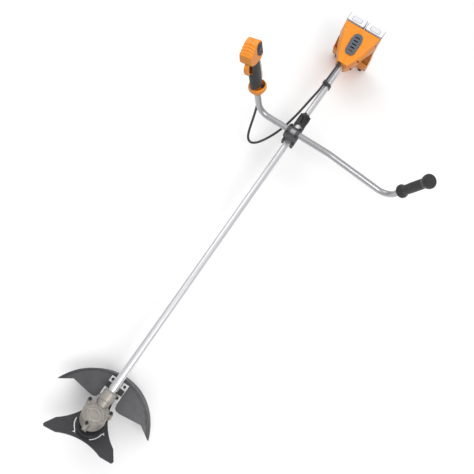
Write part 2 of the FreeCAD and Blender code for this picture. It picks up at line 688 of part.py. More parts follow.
def make_control_grip():
    whole = grip_solid(0).cut(grip_solid(SHELL))
    whole = whole.cut(oval_prism(HANDLE_LONG - SHELL, HANDLE_WIDE - SHELL, HANDLE_LOW - 1, 60))
    trigger_slot = box(13, 60, -7, 7, 112, 163).fuse(box(13, 30, -7, 7, 112, 176))
    lever_slot = box(-60, -13, -6, 6, 46, 152)
    panel_cut = moved(side_prism(PANEL_SIDE, 3), V(0, HEAD_HALF - PANEL_DEEP + 3, 0))
    button_hole = rod(V(BUTTON_AT[0], 10, BUTTON_AT[1]), V(BUTTON_AT[0], 30, BUTTON_AT[1]), 6.4)
    bar_room = z_rod(30, 109, BAR_R)
    screw_holes = []
    screws = []
    for u, s in ((20.0, 184.0), (-24.0, 156.0)):
        head = V(u, -HEAD_HALF + 3 if s > 180 else -9.5, s)
        tip = V(u, 14 if s > 180 else 9, s)
        shape = screw(head, tip, 1.5, 2.8, 2.0, 1.2)
        screws.append(shape)
        screw_holes.append(rod(tip - (head - tip).normalize() * 1.0, head, 1.5))
        screw_holes.append(rod(head, head + V(0, -14, 0), 3.2))
    posts = []
    for u, s in ((20.0, 184.0), (-24.0, 156.0)):
        post = rod(V(u, -18.5 if s > 180 else -9.8, s), V(u, 18.5 if s > 180 else 11, s), 4.0)
        posts.append(post.common(grip_solid(0.5)))
    whole = fused([whole] + posts)
    core = z_tube(60, 109, BAR_R + 2.2, BAR_R).common(grip_solid(0.5))
    whole = whole.fuse(core)
    for cutter in [trigger_slot, lever_slot, panel_cut, button_hole, bar_room] + screw_holes:
        whole = whole.cut(cutter)
    trigger_holes = rod(V(TRIGGER_PIVOT[0], -30, TRIGGER_PIVOT[1]),
                        V(TRIGGER_PIVOT[0], 30, TRIGGER_PIVOT[1]), 2.05)
    lever_holes = rod(V(LEVER_PIVOT[0], -30, LEVER_PIVOT[1]), V(LEVER_PIVOT[0], 30, LEVER_PIVOT[1]), 2.05)
    for pivot in (TRIGGER_PIVOT, LEVER_PIVOT):
        for side in (1, -1):
            boss = rod(V(pivot[0], side * 7.5, pivot[1]), V(pivot[0], side * 14, pivot[1]), 4.5)
            whole = whole.fuse(boss.common(grip_solid(0.5)))
    whole = whole.cut(trigger_holes.common(box(-60, 60, -12, 12, 0, 300)))
    whole = whole.cut(lever_holes.common(box(-60, 60, -12, 12, 0, 300)))
    inner_half = whole.common(box(-80, 80, 0, 60, 0, 300))
    outer_half = whole.common(box(-80, 80, -60, -0.0, 0, 300))
    parts["grip_shell_inner"] = in_grip(biggest(inner_half))
    parts["grip_shell_outer"] = in_grip(biggest(outer_half))

    rubber = oval_prism(HANDLE_LONG + SKIN, HANDLE_WIDE + SKIN, HANDLE_LOW + 3, RUBBER_TOP - 0.5)
    rubber = rubber.cut(oval_prism(HANDLE_LONG, HANDLE_WIDE, HANDLE_LOW, RUBBER_TOP))
    rubber = rubber.cut(box(0, 60, -7.5, 7.5, 111, 160)).cut(box(-60, 0, -7, 7, 45, 160))
    rubber = rubber.cut(grip_head_room())
    parts["grip_rubber"] = in_grip(biggest(rubber))

    parts["throttle_trigger"] = in_grip(make_trigger())
    parts["lockout_lever"] = in_grip(make_lever())
    panel = moved(side_prism(PANEL_SIDE, (PANEL_DEEP + 0.6) / 2), V(0, HEAD_HALF - PANEL_DEEP + 1.3, 0))
    panel = panel.cut(button_hole)
    parts["control_panel"] = in_grip(panel)
    u, s = BUTTON_AT
    button = rod(V(u, HEAD_HALF - 5, s), V(u, HEAD_HALF + 2.6, s), 6.0)
    parts["power_button"] = in_grip(button)
    switch = box(-8, 11, -5, 5, 128, 152).fuse(box(11, 12.4, -2, 2, 136, 141))
    parts["trigger_switch"] = in_grip(switch)
    parts["grip_screws"] = in_grip(Part.Compound(screws))
    parts["grip_collar"] = make_collar()


def grip_head_room():
    return side_prism(HEAD_SIDE, HEAD_HALF + 5).common(box(-80, 80, -60, 60, 149.5, 230))


def biggest(shape):
    """Largest solid of a cut, without the crumbs."""
    return max(shape.Solids, key=lambda solid: solid.Volume)


def make_trigger():
    u, s = TRIGGER_PIVOT
    outline = [(u - 3, s - 5), (u + 6, s - 5), (39, 158), (47, 150), (49.5, 138), (46, 124), (40, 118),
               (35, 119), (36, 132), (33, 146), (20, 150), (16, 156)]
    lever = side_prism(outline, 6.2)
    lever = rounded(lever, 2.0, lambda e: edge_runs(e, Y_AXIS) and e.Vertexes[0].Point.x > 34)
    hub = rod(V(u, -6.2, s), V(u, 6.2, s), 5.5)
    pins = rod(V(u, -11, s), V(u, 11, s), 2.0)
    return fused([lever, hub, pins])


def make_lever():
    u, s = LEVER_PIVOT
    outline = [(u - 4, s + 4), (u + 3, s + 3), (u + 3, s - 6), (-27, 124), (-30, 100), (-30, 66),
               (-28.5, 54), (-30, 48), (-34, 51), (-35.5, 66), (-35.5, 104), (-32, 128), (-26, 146)]
    lever = side_prism(outline, 5.2)
    pins = rod(V(u, -9.8, s), V(u, 9.8, s), 2.0)
    return fused([lever, pins])


BOOT_TOP = V(1148.0, 164.0, 146.0)
BOOT_END = V(1148.0, 164.0, 114.0)


def make_boot():
    return Part.makeCone(8.5, 6.0, (BOOT_END - BOOT_TOP).Length, BOOT_TOP, BOOT_END - BOOT_TOP)


def make_collar():
    """Flared collar that carries the grip on the bar and lets the cable out at its back."""
    centre = -5.0
    rings = [(-2.0, 15.0, 4.0), (centre, 28.0, 20.0), (centre, 31.5, 26.0), (centre, 31.5, 35.0),
             (centre, 29.5, 39.7)]
    wires = []
    for u, radius, s in rings:
        wires.append(Part.Wire([Part.makeCircle(radius, V(u, 0, s), Z_AXIS)]))
    collar = Part.makeLoft(wires, True, True)
    collar = collar.cut(z_rod(-5, 45, BAR_R))
    hollow = Part.makeLoft([Part.Wire([Part.makeCircle(r, V(centre, 0, s), Z_AXIS)])
                            for r, s in ((22.0, 21.0), (27.0, 36.0), (27.0, 41.0))], True, True)
    hollow = hollow.cut(z_rod(0, 45, BAR_R + 2.5))
    collar = in_grip(collar.cut(hollow))
    return biggest(collar.cut(make_boot()))


# ---------------------------------------------------------------- control cable

CABLE_ROUTE = (
    (1148, 164, 114), (1148, 164, 95), (1147, 165, 66), (1152, 165, 34), (1137, 160, 4),
    (1112, 154, -22), (1088, 148, -44), (1070, 139, -63), (1071, 125, -81), (1086, 109, -88),
    (1106, 94, -85), (1129, 79, -76), (1152, 65, -63), (1175, 53, -47), (1199, 43, -30),
    (1227, 34, -12), (1264, 26, 5), (1310, 20, 15), (1362, 14, 15.5), (1416, 13, 17.5),
    (1464, 12, 17), (1502, 12, 17))
GLAND_X = (1502.0, 1526.0)


def cable_radii(points):
    radii = []
    for before, corner, after in zip(points, points[1:], points[2:]):
        back, ahead = before - corner, after - corner
        half_turn = (math.pi - back.getAngle(ahead)) / 2
        radii.append(0.45 * min(back.Length, ahead.Length) / math.tan(half_turn))
    return radii


def make_cable():
    points = [V(*point) for point in CABLE_ROUTE]
    radii = cable_radii(points)
    print("cable arc radii", [round(radius) for radius in radii])
    wire = pipe_wire(points, radii)
    cable = swept(wire, CABLE_R, points[0], points[1] - points[0])
    expected = math.pi * CABLE_R ** 2 * wire.Length
    print("cable length", round(wire.Length), "volume ratio", round(cable.Volume / expected, 4))
    parts["control_cable"] = cable
    parts["grip_cable_boot"] = make_boot()
    y, z = CABLE_ROUTE[-1][1:]
    gland = Part.makeCone(6.4, 7.2, 16, V(GLAND_X[0], y, z), X_AXIS).fuse(
        x_rod(GLAND_X[0] + 16, GLAND_X[1], 7.2, y, z))
    parts["head_cable_gland"] = gland.removeSplitter()


CLIP_X = (1399.0, 1413.0)


def make_cable_clip():
    """Band round the tube with a smaller loop round the cable."""
    x0, x1 = CLIP_X
    y, z = 13.1, 17.0
    band = x_rod(x0, x1, SHAFT_R + 3).fuse(x_rod(x0, x1, CABLE_R + 3.4, y, z))
    band = band.fuse(box(x0, x1, -5, 5, -20, -10))
    band = band.cut(x_rod(x0 - 1, x1 + 1, SHAFT_R)).cut(x_rod(x0 - 1, x1 + 1, CABLE_R + 1.1, y, z))
    band = band.cut(box(x0 - 1, x1 + 1, -0.8, 0.8, -21, -9))
    return band.removeSplitter()


# ---------------------------------------------------------------- power head

# x, then height and half width of the top, the eaves, the waist and the bottom, corner radius
HEAD_STATIONS = ((1518.0, 27.0, 20.0, 10.0, 22.0, 2.0, 18.0, -15.0, 17.0, 3.0),
                 (1545.0, 39.0, 37.0, 16.0, 39.0, 4.0, 30.0, -30.0, 28.0, 6.0),
                 (1575.0, 55.0, 50.0, 22.0, 53.0, 6.0, 42.0, -41.0, 38.0, 6.0),
                 (1612.0, 75.0, 64.0, 28.0, 68.0, 10.0, 47.0, -48.0, 46.0, 6.0),
                 (1640.0, 90.0, 74.0, 34.0, 78.0, 14.0, 48.0, -62.0, 46.0, 6.0),
                 (1664.0, 90.0, 74.0, 34.0, 78.0, 14.0, 48.0, -64.0, 46.0, 6.0))
# x, height and half width of the top, height and half width of the bottom
POD_STATIONS = ((1643.0, 90.0, 75.0, -66.0, 80.0), (1672.0, 90.0, 75.0, -118.0, 81.0),
                (1692.0, 90.0, 75.0, -118.0, 81.0))
POD_CORNER = 8.0


def corner_wire(x, right_side, radius):
    """Rounded section across the shaft; its right side runs from top to bottom as (z, half width)."""
    corners = [V(x, half, z) for z, half in reversed(right_side)]
    corners += [V(x, -half, z) for z, half in right_side]
    edges = []
    ends = []
    for index, corner in enumerate(corners):
        back = (corners[index - 1] - corner).normalize()
        ahead = (corners[(index + 1) % len(corners)] - corner).normalize()
        half_turn = (math.pi - back.getAngle(ahead)) / 2
        reach = radius * math.tan(half_turn)
        toward = (back + ahead).normalize()
        middle = corner + toward * (radius / math.cos(half_turn) - radius)
        ends.append((corner + back * reach, middle, corner + ahead * reach))
    for index, (start, middle, end) in enumerate(ends):
        edges.append(Part.Arc(start, middle, end).toShape())
        edges.append(Part.LineSegment(end, ends[(index + 1) % len(ends)][0]).toShape())
    return Part.Wire(edges)


def head_solid(inset):
    """Narrow front under a wide roof, run into the pods at the back."""
    front = []
    for index, station in enumerate(HEAD_STATIONS):
        x, top, top_half, eave, eave_half, waist, waist_half, low, low_half, radius = station
        if inset and index == 0:
            x, top, top_half, eave, eave_half, waist, waist_half, low, low_half, radius = HEAD_STATIONS[1]
            x -= 3.0
        side = ((top - inset, top_half - inset), (eave + inset, eave_half - inset),
                (waist + 0.7 * inset, waist_half - inset), (low + inset, low_half - inset))
        if inset and index == 1:
            x += 4.0
        front.append(corner_wire(x, side, max(radius - inset, 2.5)))
    pods = []
    for index, (x, top, top_half, low, low_half) in enumerate(POD_STATIONS):
        shift = (inset, 0.0, -inset)[index]
        side = ((top - inset, top_half - inset), (low + inset, low_half - inset))
        pods.append(corner_wire(x + shift, side, POD_CORNER - inset))
    return Part.makeLoft(front, True, True).fuse(Part.makeLoft(pods, True, True))


MOTOR_X = (1580.0, 1618.0)
MOTOR_BEARINGS = ((1572.0, 1579.0), (1626.0, 1633.0))
MOTOR_R = 33.0
SCREW_SPOTS = ((1556.0, -20.0), (1606.0, -41.5), (1682.0, -98.0), (1650.0, -58.0), (1634.0, 66.0),
               (1560.0, 30.0))
LOUVRE_Z = (-54.0, 24.0)
BOARD_Z = -68.0
INSERT_OUTLINE = ((-42.0, 11.0), (-42.0, -11.0), (-30.0, -20.0), (14.0, -22.0), (34.0, -17.0),
                  (42.0, -8.0), (42.0, 8.0), (34.0, 17.0), (14.0, 22.0), (-30.0, 20.0))
SLOPE = math.degrees(math.atan2(90.0 - 39.0, 1640.0 - 1545.0))
INSERT_CENTRE = V(1590.0, 0, 63.2)


def on_slope(shape):
    """Place a shape drawn flat at the origin on the sloping top face."""
    return moved(spun(shape, -SLOPE, ORIGIN, Y_AXIS), INSERT_CENTRE)


def make_housing():
    outer = head_solid(0)
    bay = box(BAY_X, 1720, -90, 90, SHELF_Z, 120)
    outer = outer.cut(bay)
    room = head_solid(HEAD_WALL).cut(box(BAY_X - HEAD_WALL, 1720, -90, 90, SHELF_Z - HEAD_WALL, 120))
    housing = outer.cut(room)
    webs = []
    for x0, x1 in MOTOR_BEARINGS:
        webs.append(box(x0, x1, -90, 90, -130, 100).common(outer))
    webs.append(x_rod(1540, 1546, 24).common(outer))
    for x, z in SCREW_SPOTS:
        webs.append(rod(V(x, -88, z), V(x, 88, z), 5.0).common(outer))
    for side in (1, -1):
        webs.append(rod(V(1683, side * 46, SHELF_Z - 2), V(1683, side * 46, BOARD_Z + 2), 2.5))
    housing = fused([housing] + webs)
    for x0, x1 in MOTOR_BEARINGS:
        housing = housing.cut(x_rod(x0 - 0.5, x1 + 0.5, 11.0))
    housing = housing.cut(x_rod(1510, SHAFT_END, SHAFT_R))
    housing = housing.cut(x_rod(SHAFT_END - 0.5, 1571, 8.6))
    housing = housing.cut(on_slope(prism([V(a, b, -1.5) for a, b in INSERT_OUTLINE], V(0, 0, 6))))
    housing = housing.cut(on_slope(box(-34, 34, -12, 12, -8, 2)))
    y, z = CABLE_ROUTE[-1][1:]
    housing = housing.cut(x_rod(1500, GLAND_X[1], 7.2, y, z))
    housing = housing.cut(x_rod(GLAND_X[1], 1550, 5.0, y, z))
    for side in (1, -1):
        for index in range(5):
            y = side * (55 + index * 5)
            housing = housing.cut(box(1640, 1647, y - 1.3, y + 1.3, *LOUVRE_Z))
        low, high = sorted((side * 34, side * 90))
        slot = box(-40, -4, low, high, -12.0, -8.0)
        housing = housing.cut(on_slope(slot))
        housing = housing.cut(on_slope(Part.makeSphere(20, V(36, side * 60, 17.6))))
        for index in range(11):
            y0 = side * (9 + index * 5.6)
            housing = housing.cut(box(BAY_X - 2.2, BAY_X + 1, y0 - 1.3, y0 + 1.3, 84, 91))
    for x, z in SCREW_SPOTS:
        housing = housing.cut(rod(V(x, -89, z), V(x, 20, z), 1.75))
        housing = housing.cut(rod(V(x, -90, z), V(x, screw_seat(x, z), z), 4.2))
    return housing


def screw_seat(x, z):
    """How far out the head of a housing screw sits on the -Y side."""
    column = rod(V(x, -100, z), V(x, 0, z), 0.5).common(head_solid(0))
    return column.BoundBox.YMin + 7.0


def make_power_head():
    housing = make_housing()
    cutter_left = box(1500, 1730, 0, 100, -130, 130)
    cutter_right = box(1500, 1730, -100, 0, -130, 130)
    parts["housing_left"] = biggest(housing.common(cutter_left))
    parts["housing_right"] = biggest(housing.common(cutter_right))
    plate = prism([V(a * 0.985, b * 0.98, -1.5) for a, b in INSERT_OUTLINE], V(0, 0, 4.5))
    for index in range(5):
        x = -26 + index * 13
        plate = plate.cut(box(x - 2.2, x + 2.2, -9, 9, -3, 5))
        for side in (1, -1):
            plate = plate.cut(box(x + 4, x + 9, side * 20.5 - 2, side * 20.5 + 2, 0.5, 5))
    parts["vent_insert"] = on_slope(plate)
    teeth = [spun(box(MOTOR_X[0], MOTOR_X[1], -3.2, 3.2, 20.6, 29.5), 30 * k, ORIGIN, X_AXIS)
             for k in range(12)]
    stator = fused([x_tube(MOTOR_X[0] - 1, MOTOR_X[1], MOTOR_R, 28.5)] + teeth)
    parts["motor_stator"] = stator
    rotor = fused([x_rod(MOTOR_X[0] + 2, MOTOR_X[1] - 2, 20.0), x_rod(1556, 1636, 4.0 - RUNNING)])
    parts["motor_rotor"] = rotor
    parts["motor_bearings"] = Part.Compound([x_tube(a, b, 11.0, 4.0) for a, b in MOTOR_BEARINGS])
    coupling = x_rod(1531, 1562, 8.0).cut(x_rod(1530, 1537.2, DRIVE_R)).cut(x_rod(1556, 1563, 4.0 - RUNNING))
    parts["shaft_coupling"] = coupling
    board = box(1658, 1686, -50, 50, BOARD_Z, BOARD_Z + 2)
    for index in range(6):
        y = -40 + index * 15
        board = board.fuse(box(1661, 1668, y, y + 9, BOARD_Z + 2, BOARD_Z + 13))
    board = board.fuse(box(1671, 1679, -40, 40, BOARD_Z + 2, BOARD_Z + 7))
    parts["controller_board"] = board.removeSplitter()
    for name, side in (("left", 1), ("right", -1)):
        parts["battery_" + name], parts["battery_latch_" + name] = make_battery(side)
    screws = []
    for x, z in SCREW_SPOTS:
        seat = screw_seat(x, z)
        screws.append(screw(V(x, seat, z), V(x, 19, z), 1.75, 3.6, 3.0, 1.4))
    parts["housing_screws"] = Part.Compound(screws)
    feet = [Part.makeCone(10.0, 9.0, 12, V(1682, side * 56, -118), V(0, 0, -1)) for side in (1, -1)]
    parts["rubber_feet"] = Part.Compound(feet)


def make_battery(side):
    low, high = sorted((side * 2.5, side * 77.5))
    x0 = BAY_X + 1.5
    pack = box(x0, BATTERY_BACK, low, high, SHELF_Z + 3.0, BATTERY_TOP)
    pack = rounded(pack, 7.0, lambda e: edge_runs(e, Z_AXIS))
    pack = rounded(pack, 4.0, lambda e: e.BoundBox.ZMin > BATTERY_TOP - 0.5)
    middle = side * 40.0
    recess = box(x0 + 8, x0 + 32, middle - 20, middle + 20, BATTERY_TOP - 9, BATTERY_TOP + 1)
    recess = rounded(recess, 5.0, lambda e: edge_runs(e, Z_AXIS))
    pack = pack.cut(recess)
    step = box(x0 - 1, x0 + 1.2, middle - 26, middle + 26, -20, BATTERY_TOP - 22)
    pack = pack.cut(step)
    latch = box(x0 + 8.6, x0 + 31.4, middle - 19.4, middle + 19.4, BATTERY_TOP - 5.4, BATTERY_TOP + 0.6)
    latch = rounded(latch, 4.5, lambda e: edge_runs(e, Z_AXIS))
    return pack.removeSplitter(), latch


def make_all():
    make_gear_head()
    make_guard()
    make_shaft()
    parts["handlebar"] = make_handlebar()
    make_bar_clamp()
    make_harness_hanger()
    parts["left_grip"] = make_left_grip()
    make_control_grip()
    make_cable()
    parts["cable_clip"] = make_cable_clip()
    make_power_head()


def main():
    make_all()
    os.makedirs("parts", exist_ok=True)
    to_row = V(-EYE_X, 0, -EYE_Z)
    for name, shape in parts.items():
        moved(shape, to_row).exportStep("parts/" + name + ".step")
    print(len(parts), "nodes")


main()
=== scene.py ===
import json
import math

import bmesh
import bpy
from mathutils import Matrix, Vector, noise


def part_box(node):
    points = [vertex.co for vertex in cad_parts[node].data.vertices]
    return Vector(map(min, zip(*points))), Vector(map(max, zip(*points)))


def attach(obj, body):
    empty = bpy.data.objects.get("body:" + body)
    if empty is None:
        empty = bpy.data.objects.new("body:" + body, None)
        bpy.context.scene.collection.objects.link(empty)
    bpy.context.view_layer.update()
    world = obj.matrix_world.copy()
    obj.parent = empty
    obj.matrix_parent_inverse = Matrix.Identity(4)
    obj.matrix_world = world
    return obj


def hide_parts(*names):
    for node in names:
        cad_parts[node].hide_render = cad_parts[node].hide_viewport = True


# Looks of the battery brush cutter. Metres, in the row frame: the origin is the harness eye, +X
# runs along the shaft to the power head, +Y is the throttle side and +Z is up.

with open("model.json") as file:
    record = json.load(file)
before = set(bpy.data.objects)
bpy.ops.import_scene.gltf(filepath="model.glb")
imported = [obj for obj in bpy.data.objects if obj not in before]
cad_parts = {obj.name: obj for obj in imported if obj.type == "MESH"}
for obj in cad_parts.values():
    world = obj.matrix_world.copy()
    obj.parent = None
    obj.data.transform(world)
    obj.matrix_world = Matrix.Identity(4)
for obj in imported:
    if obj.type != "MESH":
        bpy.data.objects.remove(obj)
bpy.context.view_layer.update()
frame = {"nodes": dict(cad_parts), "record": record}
nodes = frame["nodes"]
MM = 0.001
SHAFT_ORIGIN = Vector((-1.214, 0, -0.036))     # where the shaft axis meets the spindle axis
GROUND_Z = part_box("rubber_feet")[0].z
Z_AXIS = Vector((0, 0, 1))

scene = bpy.context.scene
scene.view_settings.view_transform = "Standard"


def from_shaft(x, y, z):
    """A point given in millimetres from the shaft's own origin, in the row frame."""
    return SHAFT_ORIGIN + Vector((x, y, z)) * MM


# ---------------------------------------------------------------- camera

CAMERA_AT = Vector((-1.083462, -0.187098, 1.483249))
CAMERA_AIM = Vector((-0.533952, -0.047861, 0.0))
CAMERA_ROLL = 19.466
LENS = 37.29
SENSOR = 36.0


def make_camera():
    data = bpy.data.cameras.new("camera")
    data.lens = LENS
    data.sensor_width = SENSOR
    data.clip_start = 0.05
    camera = bpy.data.objects.new("camera", data)
    scene.collection.objects.link(camera)
    forward = (CAMERA_AIM - CAMERA_AT).normalized()
    level = forward.cross(Z_AXIS).normalized()
    right = Matrix.Rotation(math.radians(-CAMERA_ROLL), 3, forward) @ level
    up = right.cross(forward)
    turn = Matrix((right, up, -forward)).transposed()
    camera.matrix_world = Matrix.Translation(CAMERA_AT) @ turn.to_4x4()
    scene.camera = camera


make_camera()


# ---------------------------------------------------------------- control cable

CABLE_DIAMETER = 9 * MM
CABLE_ROUTE = (
    (1148, 164, 114), (1148, 164, 95), (1147, 165, 66), (1152, 165, 34), (1137, 160, 4),
    (1112, 154, -22), (1088, 148, -44), (1070, 139, -63), (1071, 125, -81), (1086, 109, -88),
    (1106, 94, -85), (1129, 79, -76), (1152, 65, -63), (1175, 53, -47), (1199, 43, -30),
    (1227, 34, -12), (1264, 26, 5), (1310, 20, 15), (1362, 14, 15.5), (1416, 13, 17.5),
    (1464, 12, 17), (1502, 12, 17))


def route_points():
    """Points along the smooth curve through the cable's route."""
    curve = bpy.data.curves.new("route", "CURVE")
    curve.dimensions = "3D"
    spline = curve.splines.new("NURBS")
    spline.points.add(len(CABLE_ROUTE) - 1)
    for point, place in zip(spline.points, CABLE_ROUTE):
        point.co = (*from_shaft(*place), 1)
    spline.order_u = 3
    spline.use_endpoint_u = True
    spline.resolution_u = 10
    holder = bpy.data.objects.new("route", curve)
    scene.collection.objects.link(holder)
    bpy.context.view_layer.update()
    line = bpy.data.meshes.new_from_object(holder)
    points = [vertex.co.copy() for vertex in line.vertices]
    bpy.data.objects.remove(holder)
    return points


def tube_mesh(name, points, radius, around=20):
    """Closed tube along the points, its rings kept from twisting."""
    shape = bmesh.new()
    rings = []
    side = None
    for index, point in enumerate(points):
        before = points[max(index - 1, 0)]
        after = points[min(index + 1, len(points) - 1)]
        along = (after - before).normalized()
        if side is None:
            side = along.orthogonal().normalized()
        side = (side - along * side.dot(along)).normalized()
        other = along.cross(side)
        ring = []
        for step in range(around):
            angle = 2 * math.pi * step / around
            place = point + (side * math.cos(angle) + other * math.sin(angle)) * radius
            ring.append(shape.verts.new(place))
        rings.append(ring)
    for ring, following in zip(rings, rings[1:]):
        for step in range(around):
            ahead = (step + 1) % around
            shape.faces.new((ring[step], ring[ahead], following[ahead], following[step]))
    shape.faces.new(list(reversed(rings[0])))
    shape.faces.new(rings[-1])
    for face in shape.faces:
        face.smooth = len(face.verts) == 4
    mesh = bpy.data.meshes.new(name)
    shape.to_mesh(mesh)
    shape.free()
    return mesh


def make_cable():
    points = route_points()
    cable = bpy.data.objects.new("cable", tube_mesh("cable", points, CABLE_DIAMETER / 2))
    scene.collection.objects.link(cable)
    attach(cable, "frame")
    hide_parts("control_cable")
    return cable


cable = make_cable()


# ---------------------------------------------------------------- materials

def srgb(red, green, blue):
    """Linear colour of a screen colour given from 0 to 255."""
    parts = []
    for value in (red, green, blue):
        share = value / 255
        parts.append(share / 12.92 if share <= 0.04045 else ((share + 0.055) / 1.055) ** 2.4)
    return (*parts, 1.0)


WHITE = (1, 1, 1, 1)


def darker(colour, share):
    return (*(channel * share for channel in colour[:3]), 1.0)


class Nodes:
    """A material's node tree, with short calls for the nodes used here."""

    def __init__(self, name, roughness=0.5, metallic=0.0, **sockets):
        self.material = bpy.data.materials.new(name)
        self.material.use_nodes = True
        self.tree = self.material.node_tree
        self.shader = self.tree.nodes["Principled BSDF"]
        self.shader.inputs["Roughness"].default_value = roughness
        self.shader.inputs["Metallic"].default_value = metallic
        for socket, value in sockets.items():
            self.shader.inputs[socket.replace("_", " ")].default_value = value
        self.place = self.tree.nodes.new("ShaderNodeTexCoord").outputs["Object"]

    def add(self, kind, inputs=(), **settings):
        node = self.tree.nodes.new(kind)
        for key, value in settings.items():
            setattr(node, key, value)
        for socket, value in dict(inputs).items():
            self.set(node.inputs[socket], value)
        return node

    def set(self, socket, value):
        if isinstance(value, bpy.types.NodeSocket):
            self.tree.links.new(value, socket)
        else:
            socket.default_value = value

    def noise(self, scale, detail=3.0, stretch=None, rough=0.55):
        place = self.place
        if stretch:
            place = self.add("ShaderNodeMapping", {"Vector": place, "Scale": stretch}).outputs[0]
        node = self.add("ShaderNodeTexNoise",
                        {"Vector": place, "Scale": scale, "Detail": detail, "Roughness": rough})
        return node.outputs["Fac"]

    def cells(self, scale, feature="F1"):
        node = self.add("ShaderNodeTexVoronoi", {"Vector": self.place, "Scale": scale},
                        feature=feature)
        return node.outputs["Distance"]

    def ramp(self, value, stops):
        node = self.add("ShaderNodeValToRGB", {"Fac": value})
        elements = node.color_ramp.elements
        while len(elements) < len(stops):
            elements.new(0.5)
        for element, (place, colour) in zip(elements, stops):
            element.position = place
            element.color = colour
        return node.outputs["Color"]

    def grey(self, value, low, high, start=0.3, end=0.7):
        node = self.add("ShaderNodeMapRange", {"Value": value, "From Min": start, "From Max": end,
                                               "To Min": low, "To Max": high})
        return node.outputs[0]

    def mix(self, share, first, second, blend="MIX"):
        node = self.add("ShaderNodeMix", {}, data_type="RGBA", blend_type=blend)
        self.set(node.inputs[0], share)
        self.set(node.inputs[6], first)
        self.set(node.inputs[7], second)
        return node.outputs[2]

    def maths(self, operation, first, second=0.0):
        node = self.add("ShaderNodeMath", {}, operation=operation)
        self.set(node.inputs[0], first)
        self.set(node.inputs[1], second)
        return node.outputs[0]

    def facing(self):
        """How far the surface faces along x, y and z, each from -1 to 1."""
        normal = self.tree.nodes.new("ShaderNodeTexCoord").outputs["Normal"]
        return self.add("ShaderNodeSeparateXYZ", {"Vector": normal}).outputs

    def edges(self, radius, low=0.90, high=0.995):
        """1 on convex edges and 0 on flat faces, from how much a rounded normal differs."""
        rounded = self.add("ShaderNodeBevel", {"Radius": radius}, samples=4).outputs[0]
        flat = self.add("ShaderNodeNewGeometry").outputs["Normal"]
        dot = self.add("ShaderNodeVectorMath", {}, operation="DOT_PRODUCT")
        self.set(dot.inputs[0], rounded)
        self.set(dot.inputs[1], flat)
        return self.grey(dot.outputs["Value"], 1.0, 0.0, low, high)

    def hollows(self, distance, low=0.35, high=0.95):
        """1 deep in corners and 0 in the open."""
        node = self.add("ShaderNodeAmbientOcclusion", {"Distance": distance}, samples=4)
        return self.grey(node.outputs["AO"], 1.0, 0.0, low, high)

    def bump(self, layers, soft_edge=0.0):
        """Layers of (height, distance in metres), over edges rounded by soft_edge metres."""
        normal = None
        if soft_edge:
            normal = self.add("ShaderNodeBevel", {"Radius": soft_edge}, samples=4).outputs[0]
        for height, distance in layers:
            inputs = {"Height": height, "Distance": distance, "Strength": 1.0}
            if normal is not None:
                inputs["Normal"] = normal
            normal = self.add("ShaderNodeBump", inputs).outputs[0]
        self.set(self.shader.inputs["Normal"], normal)

    def finish(self, colour, roughness=None):
        self.set(self.shader.inputs["Base Color"], colour)
        if roughness is not None:
            self.set(self.shader.inputs["Roughness"], roughness)
        return self.material


def plastic(name, colour, roughness=0.42, grain=0.00003, grain_scale=1400, worn=0.25, painted_corner_shade=0.1,
            coat=0.0, soft_edge=0.0006, painted_side_shade=1.0):
    """Moulded plastic: fine grain, faint flow marks, lighter edges that are partly wear and partly
    a painted highlight, and painted shade in the corners.

    Faces that don't look up get painted shade, darkened to the side-shade share.
    """
    n = Nodes(name, roughness, IOR=1.5, Coat_Weight=coat, Coat_Roughness=0.25)
    flow = n.noise(18, 4)
    tint = n.ramp(flow, [(0.3, darker(colour, 0.93)), (0.7, colour)])
    # Painted shade: faces that don't look up are darkened to the side-shade share.
    tint = n.mix(n.grey(n.facing()[2], 1.0, 0.0, 0.1, 0.75), tint, darker(colour, painted_side_shade))
    # Lighter convex edges, broken up by scratch noise: partly wear, partly a painted highlight.
    wear_and_highlight_tint = n.mix(0.35, colour, WHITE)
    scratches = n.noise(260, 5, rough=0.7)
    edge = n.maths("MULTIPLY", n.edges(0.0012), n.grey(scratches, 0.0, worn * 2, 0.45, 0.6))
    tint = n.mix(edge, tint, wear_and_highlight_tint)
    # Painted shade: darker in corners and recesses, by the corner-shade share.
    tint = n.mix(n.maths("MULTIPLY", n.hollows(0.006), painted_corner_shade * 4), tint, darker(colour, 0.45))
    rough = n.grey(n.noise(70, 4), roughness - 0.06, roughness + 0.08)
    n.bump([(n.noise(grain_scale, 2), grain), (n.noise(60, 2), grain * 1.5)], soft_edge)
    return n.finish(tint, rough)


def rubber(name, colour, roughness=0.62, grain=0.00006, grain_scale=1100):
    """Moulded rubber: matt, finely pitted, grey with dust on its edges."""
    n = Nodes(name, roughness, IOR=1.45, Sheen_Weight=0.15, Sheen_Roughness=0.5)
    tint = n.ramp(n.noise(30, 5), [(0.3, darker(colour, 0.85)), (0.7, darker(colour, 1.15))])
    dust = n.maths("MULTIPLY", n.edges(0.001), n.grey(n.noise(400, 3), 0.0, 0.35, 0.4, 0.6))
    tint = n.mix(dust, tint, n.mix(0.3, colour, (0.6, 0.6, 0.6, 1)))
    rough = n.grey(n.noise(120, 4), roughness - 0.08, roughness + 0.1)
    n.bump([(n.cells(grain_scale), grain), (n.noise(300, 3), grain)], 0.0004)
    return n.finish(tint, rough)


def drawn_aluminium(name, colour, along=(6, 900, 900)):
    """Satin anodised tube with faint drawing lines along it."""
    n = Nodes(name, 0.32, 0.85)
    lines = n.noise(1.0, 4, stretch=along)
    tint = n.ramp(lines, [(0.35, darker(colour, 0.93)), (0.65, colour)])
    smudge = n.noise(9, 5)
    tint = n.mix(n.grey(smudge, 0.0, 0.12, 0.5, 0.8), tint, darker(colour, 0.8))
    rough = n.grey(n.noise(1.0, 3, stretch=along), 0.26, 0.42)
    n.bump([(lines, 0.000012)])
    return n.finish(tint, rough)


